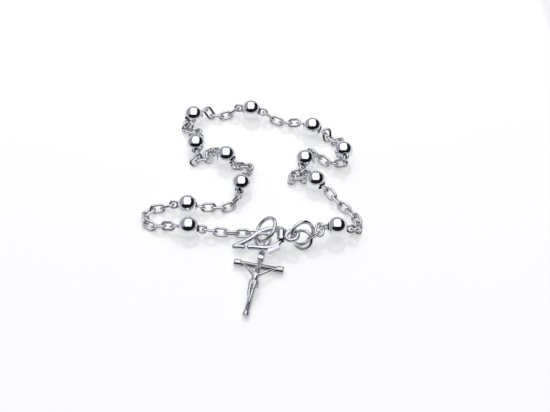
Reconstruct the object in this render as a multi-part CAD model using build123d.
from build123d import *
import os
import numpy as np
from math import cos, sin, pi, radians

os.makedirs("parts", exist_ok=True)

# Rosary bracelet in polished silver, lying in one loose S-shaped loop on a flat surface.
# Millimetres, +Z up. The layout is worked out first (beads and rings from the tables, chain
# links settled between them), then every piece is made as a solid and moved to its place.

# Driving dimensions
BEAD_DIAMETER = 3.95
BEAD_HOLE = 1.7
LINK_LENGTH, LINK_WIDTH, LINK_WIRE = 3.25, 2.0, 0.55
EYE_LENGTH, EYE_WIDTH, EYE_WIRE = 2.05, 1.8, 0.5      # wire loop at each end of a bead's pin
EYE_START = 1.62                                      # distance of the loop from the bead's centre
CLASP_WIRE = 1.0                                      # round section of the claw and of the lever
CLASP_TILT = 12.0                                     # the tail end is raised
CLASP_TIP = (-8.1, -9.6, 1.0)                         # origin of the clasp's own plane
BASE_RADIUS = 0.85
TAIL_RADIUS, TAIL_WIRE = 1.1, 0.85                    # centre line and section of the tail loop
PIVOT = (9.3, -0.55)                                  # lever pin in the clasp's plane
PIN_RADIUS, PIN_CLEARANCE = 0.25, 0.04
SLOT, LEVER_THICKNESS = 0.84, 0.64                    # slot in the base and the lever's root in it
LEVER_OPEN = 5.0                                      # degrees kept free for the lever
GAP = 0.13                                            # space kept between loose pieces
CROSS_FOOT, CROSS_HEADING = (-5.22, -25.58), 78.1     # foot of the cross and where its top points
CROSS_HEIGHT = 0.82
CROSS_EYE, CROSS_EYE_WIRE, CROSS_EYE_AT = 1.6, 0.4, 15.35   # outer diameter, wire, place on the shaft
UP = np.array([0.0, 0.0, 1.0])

# Beads: place on the surface, lift above it, and for both pin loops the compass direction and
# the tilt in which they leave the bead. "before" and "after" follow the order of the chain.
BEADS = {
    # name      x       y      lift   before: heading, tilt   after: heading, tilt
    "bead_01": (-17.10, 22.98, 0.00, -100, -12, 15, -8),
    "bead_02": (-5.06, 24.61, 0.10, 172, -4, -18, -4),
    "bead_03": (7.78, 19.61, 0.00, 165, -4, -38, -8),
    "bead_04": (13.79, 12.02, 0.90, 110, -24, -98, -10),
    "bead_05": (6.06, 10.47, 0.00, 60, -10, -108, -12),
    "bead_06": (8.04, 4.90, 0.00, 125, -10, -42, -14),
    "bead_07": (11.66, -7.40, 0.90, -5, -20, 188, -4),
    "bead_08": (-16.15, 14.60, 0.15, -76, -16, 85, -10),
    "bead_09": (-9.82, 11.12, 0.45, -47, -20, 145, -18),
    "bead_10": (-6.58, 3.96, 0.00, -97, -14, 70, -16),
    "bead_11": (-16.86, -1.30, 0.00, 178, -10, -8, -12),
    "bead_12": (-16.30, -6.74, 0.10, -12, -10, 178, -8),
}

# Jump rings: centre, direction of the ring's axis, outer diameter, wire
RINGS = {
    # name             x      y      z      axis                    outer  wire
    "ring_large": (-1.74, -7.86, 2.65, (-0.691, 0.000, 0.723), 5.65, 0.75),
    "ring_cross": (-2.26, -9.91, 2.04, (0.029, -0.878, 0.478), 3.30, 0.50),
    "ring_tail": (5.10, -8.90, 2.91, (-0.460, 0.790, -0.410), 5.20, 0.70),
    "ring_end": (5.18, -9.50, 1.68, (-0.390, -0.660, 0.640), 4.15, 0.65),
}

# Chain spans: where they start and end, how many links, the route, and the roll of odd and even
# links about their own length (0 lies flat, 90 stands on edge)
SPANS = {
    # name          from         to           links rolls       route points
    "chain_01": ("ring_large", "bead_12", 5, (45, -45), [(-7.5, -8.9, 0.9), (-11.7, -8.1, 0.9)]),
    "chain_02": ("bead_12", "bead_11", 7, (-45, 45),
                 [(-21.8, -5.9, 1.0), (-24.6, -5.2, 1.0), (-25.6, -3.6, 1.0),
                  (-24.6, -1.8, 1.0), (-21.8, -0.7, 1.0)]),
    "chain_03": ("bead_11", "bead_10", 4, (43, -47),
                 [(-11.9, -2.0, 1.0), (-9.9, -1.4, 1.0), (-8.0, -1.1, 1.0)]),
    "chain_04": ("bead_10", "bead_09", 4, (90, 0),
                 [(-5.5, 7.6, 1.0), (-5.2, 8.7, 0.8), (-5.8, 9.4, 0.8), (-7.2, 9.2, 0.8)]),
    "chain_05": ("bead_09", "bead_08", 4, (90, 0),
                 [(-12.9, 13.0, 0.9), (-13.2, 11.2, 0.8), (-14.4, 10.3, 0.8), (-15.4, 10.6, 0.8)]),
    "chain_06": ("bead_08", "bead_01", 4, (45, -45),
                 [(-15.8, 18.2, 1.0), (-16.6, 19.3, 0.8), (-17.4, 19.0, 0.8), (-18.0, 19.2, 0.8)]),
    "chain_07": ("bead_01", "bead_02", 4, (45, -45),
                 [(-13.2, 23.7, 1.5), (-11.0, 24.2, 1.6), (-9.2, 24.5, 1.7)]),
    "chain_08": ("bead_02", "bead_03", 4, (-45, 45), [(0.0, 22.4, 1.6)]),
    "chain_09": ("bead_03", "bead_04", 4, (45, -45),
                 [(11.0, 17.2, 1.0), (12.3, 16.6, 1.0), (13.3, 16.2, 1.0)]),
    "chain_10": ("bead_04", "bead_05", 4, (0, 90),
                 [(12.4, 8.4, 1.0), (10.9, 9.2, 1.0), (9.4, 10.4, 1.0), (8.6, 12.0, 1.0)]),
    "chain_11": ("bead_05", "bead_06", 4, (0, 90),
                 [(4.0, 6.4, 0.9), (3.6, 5.2, 0.8), (4.3, 4.4, 0.8), (5.4, 5.2, 0.8)]),
    "chain_12": ("bead_06", "bead_07", 7, (45, -45),
                 [(12.0, 0.3, 1.0), (14.3, -2.1, 1.0), (16.6, -4.6, 1.0),
                  (17.6, -5.8, 1.0), (17.2, -6.9, 1.0)]),
    "chain_13": ("bead_07", "ring_end", 2, (0, 90), [(8.4, -8.9, 3.6)]),
}
RING_HOLD = {"ring_large": (-3.6, -8.35, 1.1), "ring_end": (7.0, -9.8, 1.6)}   # where a chain holds it

# Clasp, in its own plane: u from the tip to the tail, v to the rear
CLAW = [(10.0, 1.1), (8.4, 1.95), (6.7, 1.87), (5.1, 1.4), (3.6, 0.35), (2.1, -0.4), (0.6, -1.05)]
NOSE = [(0.75, -1.05), (2.2, -1.42)]                 # short nose of the claw that meets the lever
LEVER = [(9.0, -1.6), (8.1, -2.2), (6.5, -2.3), (5.0, -1.95), (3.4, -1.62)]
BASE = [(9.5, 0.8), (9.45, -0.5)]
TAIL = (11.5, -0.2)

# Cross and figure: s runs from the foot of the cross to its top, t to the right, h upwards
CROSS_BARS = [
    # s1, t1, h1, r1, s2, t2, h2, r2
    (0.0, 0.0, 0.0, 0.62, 14.28, 0.0, 0.0, 0.58),
    (10.9, -4.3, 0.0, 0.60, 10.9, 4.3, 0.0, 0.60),
]
CROSS_CAPS = [(0.05, 0.0, 0.8), (10.9, -4.25, 0.76), (10.9, 4.25, 0.76)]     # s, t, radius
PLAQUE_LIFT = 0.15
PLAQUE = (13.1, 1.7, 1.25, 1.0)                                          # s, length, width, height
FIGURE = {
    # name          s1    t1    h1    r1    s2    t2    h2    r2
    "chest":      (7.25, 0.12, 1.05, 0.80, 5.95, 0.08, 1.05, 0.62),
    "shoulders":  (7.55, -0.62, 1.15, 0.40, 7.55, 0.86, 1.15, 0.40),
    "waist":      (5.95, 0.08, 1.05, 0.62, 5.00, 0.00, 1.00, 0.63),
    "loincloth":  (5.00, -0.12, 1.02, 0.74, 4.05, -0.08, 1.05, 0.66),
    "knot":       (4.95, 0.62, 1.15, 0.30, 4.15, 0.82, 0.95, 0.18),
    "upper_arm_l": (7.60, -0.72, 1.15, 0.36, 9.00, -1.90, 1.00, 0.29),
    "forearm_l":  (9.00, -1.90, 1.00, 0.29, 10.20, -2.95, 0.80, 0.20),
    "hand_l":     (10.20, -2.95, 0.80, 0.24, 10.62, -3.22, 0.72, 0.17),
    "upper_arm_r": (7.60, 0.96, 1.15, 0.36, 8.90, 2.10, 1.00, 0.29),
    "forearm_r":  (8.90, 2.10, 1.00, 0.29, 10.20, 3.02, 0.80, 0.20),
    "hand_r":     (10.20, 3.02, 0.80, 0.24, 10.62, 3.28, 0.72, 0.17),
    "thigh_l":    (4.30, -0.34, 1.05, 0.40, 2.95, -0.34, 1.22, 0.31),
    "shin_l":     (2.95, -0.34, 1.22, 0.31, 1.60, -0.10, 0.92, 0.21),
    "thigh_r":    (4.30, 0.26, 1.05, 0.40, 3.00, 0.24, 1.22, 0.31),
    "shin_r":     (3.00, 0.24, 1.22, 0.31, 1.60, 0.12, 0.94, 0.21),
    "feet":       (1.60, 0.02, 0.95, 0.25, 0.98, 0.00, 0.72, 0.18),
    "neck":       (7.70, 0.15, 1.25, 0.28, 8.30, 0.25, 1.50, 0.26),
    "head":       (8.42, 0.27, 1.52, 0.50, 8.78, 0.32, 1.60, 0.56),
    "beard":      (8.20, 0.25, 1.72, 0.24, 8.42, 0.28, 1.82, 0.34),
    "hair_l":     (8.95, -0.12, 1.45, 0.34, 8.05, -0.22, 1.25, 0.22),
    "hair_r":     (9.00, 0.72, 1.45, 0.34, 8.05, 0.72, 1.22, 0.22),
}


def unit(v):
    v = np.array(v, float)
    return v / np.linalg.norm(v)


def heading_vector(heading, tilt):
    h, t = radians(heading), radians(tilt)
    return np.array([cos(h) * cos(t), sin(h) * cos(t), sin(t)])


def frame_of(axis, roll):
    """Columns: long axis, width direction, face normal."""
    x = unit(axis)
    side = unit(np.cross(UP, x))
    top = np.cross(x, side)
    y = side * cos(radians(roll)) + top * sin(radians(roll))
    return np.column_stack([x, y, np.cross(x, y)])


def ring_frame(axis):
    z = unit(axis)
    x = unit(np.cross(z, (0.0, 1.0, 0.01)))
    return np.column_stack([x, np.cross(z, x), z])


def oval_points(length, width, wire, count):
    """Evenly spaced points along the centre line of an oval link, long axis X, in XY."""
    r = (width - wire) / 2
    half = (length - wire) / 2 - r
    corners = [0, 2 * half, 2 * half + pi * r, 4 * half + pi * r]
    total = 4 * half + 2 * pi * r
    points = []
    for k in range(count):
        s = total * k / count
        if s < corners[1]:
            points.append((s - half, -r, 0))
        elif s < corners[2]:
            a = (s - corners[1]) / r - pi / 2
            points.append((half + r * cos(a), r * sin(a), 0))
        elif s < corners[3]:
            points.append((half - (s - corners[2]), r, 0))
        else:
            a = (s - corners[3]) / r + pi / 2
            points.append((r * cos(a) - half, r * sin(a), 0))
    return np.array(points)


def circle_points(radius, count):
    return np.array([(radius * cos(2 * pi * k / count), radius * sin(2 * pi * k / count), 0)
                     for k in range(count)])


def resample(points, count):
    p = np.array(points, float)
    run = np.r_[0, np.cumsum(np.linalg.norm(np.diff(p, axis=0), axis=1))]
    s = np.linspace(0, run[-1], count)
    return np.array([np.interp(s, run, p[:, k]) for k in range(3)]).T


def smooth(points):
    p = resample(points, 60)
    for _ in range(6):
        p[1:-1] = (p[:-2] + 2 * p[1:-1] + p[2:]) / 4
    return p


def in_clasp(u, v, w=0.0):
    """A point of the clasp's own plane, as a point of the scene."""
    a = radians(CLASP_TILT)
    return np.array(CLASP_TIP) + u * np.array([cos(a), 0, sin(a)]) + np.array([0, v, 0]) \
        + w * np.array([-sin(a), 0, cos(a)])


def turn_in_plane(point, degrees):
    a = radians(degrees)
    x, y = point[0] - PIVOT[0], point[1] - PIVOT[1]
    return PIVOT[0] + x * cos(a) - y * sin(a), PIVOT[1] + x * sin(a) + y * cos(a)


def on_cross(s, t, h):
    a = radians(CROSS_HEADING)
    return np.array([CROSS_FOOT[0] + s * cos(a) + t * sin(a),
                     CROSS_FOOT[1] + s * sin(a) - t * cos(a), CROSS_HEIGHT + h])


class Piece:
    """A wire shape: points of its centre line, wire radius and pose. Loose ones can move."""

    def __init__(self, points, wire, centre, frame, loose=False, sinks=False):
        self.local, self.radius = np.array(points), wire / 2
        self.centre, self.frame = np.array(centre, float), np.array(frame, float)
        self.loose, self.sinks = loose, sinks

    def world(self):
        return self.local @ self.frame.T + self.centre


def fixed(points, wire):
    middle = np.mean(points, axis=0)
    return Piece(points - middle, wire, middle, np.eye(3))


def rotation(v):
    angle = np.linalg.norm(v)
    if angle < 1e-12:
        return np.eye(3)
    k = v / angle
    K = np.array([[0, -k[2], k[1]], [k[2], 0, -k[0]], [-k[1], k[0], 0]])
    return np.eye(3) + sin(angle) * K + (1 - cos(angle)) * K @ K


def settle(pieces, bead_centres, rounds=300, sink=0.006, step=0.06, ease=0.7):
    """Push touching pieces apart until each keeps GAP; chain links sink until they are held."""
    near = 1.2
    reach = [np.abs(p.local).max() * near for p in pieces]
    for round_no in range(rounds):
        if round_no % 10 == 0:
            pairs = [(i, j) for i in range(len(pieces)) for j in range(i + 1, len(pieces))
                     if (pieces[i].loose or pieces[j].loose)
                     and np.linalg.norm(pieces[i].centre - pieces[j].centre)
                     < reach[i] + reach[j] + near]
        lines = [p.world() for p in pieces]
        pushes = [[] for _ in pieces]
        for i, j in pairs:
            d = lines[i][:, None] - lines[j][None]
            apart = np.sqrt((d * d).sum(2))
            need = pieces[i].radius + pieces[j].radius + GAP
            a, b = np.nonzero(apart < need)
            if len(a):
                normal = d[a, b] / apart[a, b][:, None]
                depth = need - apart[a, b]
                share = 0.5 if pieces[i].loose and pieces[j].loose else 1.0
                pushes[i].append((lines[i][a], normal, depth * share))
                pushes[j].append((lines[j][b], -normal, depth * share))
        for i, p in enumerate(pieces):
            if not p.loose:
                continue
            low = p.radius - lines[i][:, 2]
            k = low > 0
            if k.any():
                pushes[i].append((lines[i][k], np.tile(UP, (k.sum(), 1)), low[k]))
            for c in bead_centres:
                d = lines[i] - c
                apart = np.linalg.norm(d, axis=1)
                depth = BEAD_DIAMETER / 2 + p.radius + GAP - apart
                k = depth > 0
                if k.any():
                    pushes[i].append((lines[i][k], d[k] / apart[k][:, None], depth[k]))
            move(p, pushes[i], step, ease)
            if p.sinks and round_no < rounds * ease:
                p.centre[2] -= sink


def move(piece, pushes, step, ease):
    """The rigid move that best answers all pushes on one piece."""
    if not pushes:
        return
    A, b = np.zeros((6, 6)), np.zeros(6)
    for points, normal, depth in pushes:
        J = np.hstack([normal, np.cross(points - piece.centre, normal)])
        weight = (depth / depth.max())[:, None]
        A += (J * weight).T @ J
        b += (J * weight).T @ depth
    soft = np.diag([1e-3] * 3 + [3e-3] * 3) * np.trace(A) / 3
    x = np.linalg.solve(A + soft, b)
    piece.centre = piece.centre + np.clip(ease * x[:3], -step, step)
    piece.frame = rotation(np.clip(ease * x[3:], -step, step)) @ piece.frame


# Layout: beads with their pin loops, rings and clasp stand still, chain links settle
LINK_SAMPLES, EYE_SAMPLES, RING_SAMPLES, BAR_SAMPLES = 36, 30, 60, 70
bead_centre, pin_loops, spans, ring_pieces = {}, {}, {}, {}
for name, (x, y, lift, h_in, t_in, h_out, t_out) in BEADS.items():
    bead_centre[name] = np.array([x, y, BEAD_DIAMETER / 2 + lift])
    before, after = heading_vector(h_in, t_in), heading_vector(h_out, t_out)
    axis = unit(after - before)
    pin_loops[name, "before"] = (bead_centre[name] - axis * EYE_START, before)
    pin_loops[name, "after"] = (bead_centre[name] + axis * EYE_START, after)

for name, (x, y, z, axis, outer, wire) in RINGS.items():
    points = circle_points((outer - wire) / 2, RING_SAMPLES)
    ring_pieces[name] = Piece(points, wire, (x, y, z), ring_frame(axis))

still = list(ring_pieces.values())
for line in (CLAW, NOSE):
    still.append(fixed(resample([in_clasp(*q) for q in line], BAR_SAMPLES), CLASP_WIRE))
for angle in (0, -LEVER_OPEN):
    arm = [in_clasp(*turn_in_plane(q, angle)) for q in [PIVOT] + LEVER]
    still.append(fixed(resample(arm, BAR_SAMPLES), CLASP_WIRE))
still.append(fixed(resample([in_clasp(*q) for q in BASE], BAR_SAMPLES // 5), 2 * BASE_RADIUS))
tail_line = [in_clasp(TAIL[0] + p[0], TAIL[1] + p[1]) for p in circle_points(TAIL_RADIUS, RING_SAMPLES)]
still.append(fixed(np.array(tail_line), TAIL_WIRE))

loop_frame = {}
HOLD = 0.2                                        # how far a link reaches over what holds it
for name, (start, end, count, rolls, route) in SPANS.items():
    ends = []
    for place, side in ((start, "after"), (end, "before")):
        if place in RING_HOLD:
            line = ring_pieces[place].world()
            ends.append(line[np.linalg.norm(line - RING_HOLD[place], axis=1).argmin()])
        else:
            mouth, direction = pin_loops[place, side]
            ends.append(mouth + direction * (EYE_LENGTH - EYE_WIRE - HOLD))
    path = resample(smooth([ends[0]] + route + [ends[1]]), count + 1)
    shape = oval_points(LINK_LENGTH, LINK_WIDTH, LINK_WIRE, LINK_SAMPLES)
    spans[name] = [Piece(shape, LINK_WIRE, (path[k] + path[k + 1]) / 2,
                         frame_of(path[k + 1] - path[k], rolls[k % 2]), True,
                         start in BEADS and end in BEADS) for k in range(count)]
    for place, side, sign, roll in ((start, "after", 1, rolls[1]), (end, "before", -1, rolls[count % 2])):
        if place in BEADS:
            mouth, direction = pin_loops[place, side]
            frame = frame_of(sign * direction, roll)
            loop_frame[place, side] = frame
            shape_eye = oval_points(EYE_LENGTH, EYE_WIDTH, EYE_WIRE, EYE_SAMPLES)
            still.append(Piece(shape_eye, EYE_WIRE, mouth + direction * EYE_LENGTH / 2, frame))

loose = [link for span in spans.values() for link in span]
settle(still + loose, list(bead_centre.values()))

# Solids
def put(shape, centre, frame):
    """Move a shape made at the origin to a pose."""
    plane = Plane(origin=tuple(centre), x_dir=tuple(frame[:, 0]), z_dir=tuple(frame[:, 2]))
    return plane.location * shape


BALL_SIZE = 1.03                                  # joint balls stand just proud of their rods


def rod(a, r1, b, r2, ball_a=True, ball_b=True):
    """Tapered round rod between two points, with ball ends whose poles lie on its axis."""
    a, b = np.array(a, float), np.array(b, float)
    length = float(np.linalg.norm(b - a))
    shape = Cylinder(r1, length) if abs(r1 - r2) < 1e-6 else Cone(r1, r2, length)
    if ball_a:
        shape += Pos(0, 0, -length / 2) * Sphere(r1 * BALL_SIZE)
    if ball_b:
        shape += Pos(0, 0, length / 2) * Sphere(r2 * BALL_SIZE)
    return Plane(origin=tuple((a + b) / 2), z_dir=tuple(unit(b - a))).location * shape


def oval_link(length, width, wire):
    """Closed oval of round wire in XY, long axis X: two half rings and two straight sides."""
    r = (width - wire) / 2
    half = (length - wire) / 2 - r
    solid = None
    for side in (1, -1):
        bend = Torus(r, wire / 2) & (Pos(side * width, 0, 0) * Box(2 * width, 2 * width, wire * 2))
        straight = Pos(0, side * r, 0) * Rot(0, 90, 0) * Cylinder(wire / 2, 2 * half)
        piece = Pos(side * half, 0, 0) * bend + straight
        solid = piece if solid is None else solid + piece
    return solid


def save(name, shape):
    moved = Pos(*shift) * shape
    export_step(moved, f"parts/{name}.step")


link_solid = oval_link(LINK_LENGTH, LINK_WIDTH, LINK_WIRE)
eye_solid = oval_link(EYE_LENGTH, EYE_WIDTH, EYE_WIRE)
nodes = {}

for name, centre in bead_centre.items():
    first, last = pin_loops[name, "before"], pin_loops[name, "after"]
    axis = unit(last[0] - first[0])
    plane = Plane(origin=tuple(centre), z_dir=tuple(axis))
    nodes[name] = plane.location * (Sphere(BEAD_DIAMETER / 2) - Cylinder(BEAD_HOLE / 2, BEAD_DIAMETER * 2))
    wire_ends = [mouth + direction * EYE_WIRE / 2 for mouth, direction in (first, last)]
    pin = rod(wire_ends[0], EYE_WIRE / 2, wire_ends[1], EYE_WIRE / 2, False, False)
    for side, (mouth, direction) in (("before", first), ("after", last)):
        pin += put(eye_solid, mouth + direction * EYE_LENGTH / 2, loop_frame[name, side])
    nodes[name.replace("bead", "pin")] = pin

for name, links in spans.items():
    nodes[name] = Compound(children=[put(link_solid, p.centre, p.frame) for p in links])

for name, (x, y, z, axis, outer, wire) in RINGS.items():
    nodes[name] = put(Torus((outer - wire) / 2, wire / 2), (x, y, z), ring_frame(axis))

# Clasp body: claw, base, loop at the tail, slot for the lever and its pin
clasp_frame = Plane(origin=CLASP_TIP, x_dir=tuple(in_clasp(1, 0) - in_clasp(0, 0)),
                    z_dir=tuple(in_clasp(0, 0, 1) - in_clasp(0, 0)))
TIP_BALL = 1.02
SLOT_LEFT, SLOT_RIGHT, SLOT_TOP, SLOT_DEPTH = 7.9, 9.93, 0.1, 3.0


def bar_along(points, radius):
    line = Spline(*[(u, v, 0) for u, v in points])
    section = Plane(origin=line @ 0, z_dir=line % 0) * Circle(radius)
    bar = sweep(section, path=line)
    for end in (0, 1):
        bar += Plane(origin=line @ end, z_dir=line % end).location * Sphere(radius * TIP_BALL)
    return bar


base_solid = rod((*BASE[0], 0), BASE_RADIUS, (*BASE[1], 0), BASE_RADIUS * 0.999)
root = rod((*CLAW[1], 0), CLASP_WIRE / 2, (*BASE[0], 0), BASE_RADIUS * 0.98)
tail_solid = Pos(*TAIL, 0) * Torus(TAIL_RADIUS, TAIL_WIRE / 2)
nose = rod((*NOSE[0], 0), CLASP_WIRE / 2 * 0.99, (*NOSE[1], 0), CLASP_WIRE / 2 * 0.94)
body = bar_along(CLAW, CLASP_WIRE / 2) + nose + base_solid + root + tail_solid
slot_width = SLOT_RIGHT - SLOT_LEFT
body -= Pos((SLOT_LEFT + SLOT_RIGHT) / 2, SLOT_TOP - SLOT_DEPTH / 2, 0) * Box(slot_width, SLOT_DEPTH, SLOT)
body += Pos(*PIVOT, 0) * Cylinder(PIN_RADIUS, 2 * BASE_RADIUS * 0.93)
nodes["clasp_body"] = clasp_frame.location * body

# Lever: root on the pin, round arm to the tip, thumb tab with grip ribs
ROOT_RADIUS = 0.5
TAB_AT, TAB_SIZE, TAB_TURN = (8.05, -2.75), (2.3, 0.75, 0.9), 22.0
RIBS, RIB_RADIUS = 5, 0.13
lever = bar_along(LEVER, CLASP_WIRE / 2)
lever_root = Pos(*PIVOT, 0) * Cylinder(ROOT_RADIUS, LEVER_THICKNESS)
blade_mid = ((PIVOT[0] + LEVER[0][0]) / 2, (PIVOT[1] + LEVER[0][1]) / 2)
blade = Pos(*blade_mid, 0) * Rot(0, 0, 62) * Box(1.35, 0.9, LEVER_THICKNESS)
tab = Pos(*TAB_AT, -0.1) * Rot(0, 0, TAB_TURN) * Box(*TAB_SIZE)
lever += lever_root + blade + tab
for k in range(RIBS):
    along = (k / (RIBS - 1) - 0.5) * (TAB_SIZE[0] - 0.5)
    lever += Pos(*TAB_AT, -0.1) * Rot(0, 0, TAB_TURN) * Pos(along, -TAB_SIZE[1] / 2, 0) \
        * Cylinder(RIB_RADIUS, TAB_SIZE[2] * 0.98)
lever -= Pos(*PIVOT, 0) * Cylinder(PIN_RADIUS + PIN_CLEARANCE, 2 * BASE_RADIUS)
nodes["clasp_lever"] = clasp_frame.location * lever

# Cross, figure and the small eye at its top: one casting
cross = None
joints = set()
for s1, t1, h1, r1, s2, t2, h2, r2 in CROSS_BARS + list(FIGURE.values()):
    new_a, new_b = (s1, t1, h1) not in joints, (s2, t2, h2) not in joints
    joints.update([(s1, t1, h1), (s2, t2, h2)])
    piece = rod(on_cross(s1, t1, h1), r1, on_cross(s2, t2, h2), r2, new_a, new_b)
    cross = piece if cross is None else cross + piece
along_shaft = on_cross(1, 0, 0) - on_cross(0, 0, 0)
along_arms = on_cross(0, 1, 0) - on_cross(0, 0, 0)
for s, t, radius in CROSS_CAPS:
    cap_axis = along_arms if t else along_shaft
    cross += Plane(origin=tuple(on_cross(s, t, 0)), z_dir=tuple(cap_axis)).location * Sphere(radius)
s, length, width, height = PLAQUE
turn = Rot(0, 0, CROSS_HEADING)
cross += Pos(*on_cross(s, 0, PLAQUE_LIFT)) * turn * Box(length, width, height)
eye_centre = on_cross(CROSS_EYE_AT, 0, 0)
eye_axis = np.cross(along_shaft, UP)
cross += put(Torus((CROSS_EYE - CROSS_EYE_WIRE) / 2, CROSS_EYE_WIRE / 2), eye_centre, ring_frame(eye_axis))
nodes["crucifix"] = cross

# The origin is the middle of the underside of everything
boxes = [shape.bounding_box() for shape in nodes.values()]
low = [min(getattr(b.min, k) for b in boxes) for k in "XYZ"]
high = [max(getattr(b.max, k) for b in boxes) for k in "XYZ"]
shift = (-(low[0] + high[0]) / 2, -(low[1] + high[1]) / 2, -low[2])
for name, shape in nodes.items():
    save(name, shape)
    print(name, len(shape.solids()), round(sum(solid.volume for solid in shape.solids()), 3))
print("size", [round(b - a, 3) for a, b in zip(low, high)], "shift", [round(v, 4) for v in shift])
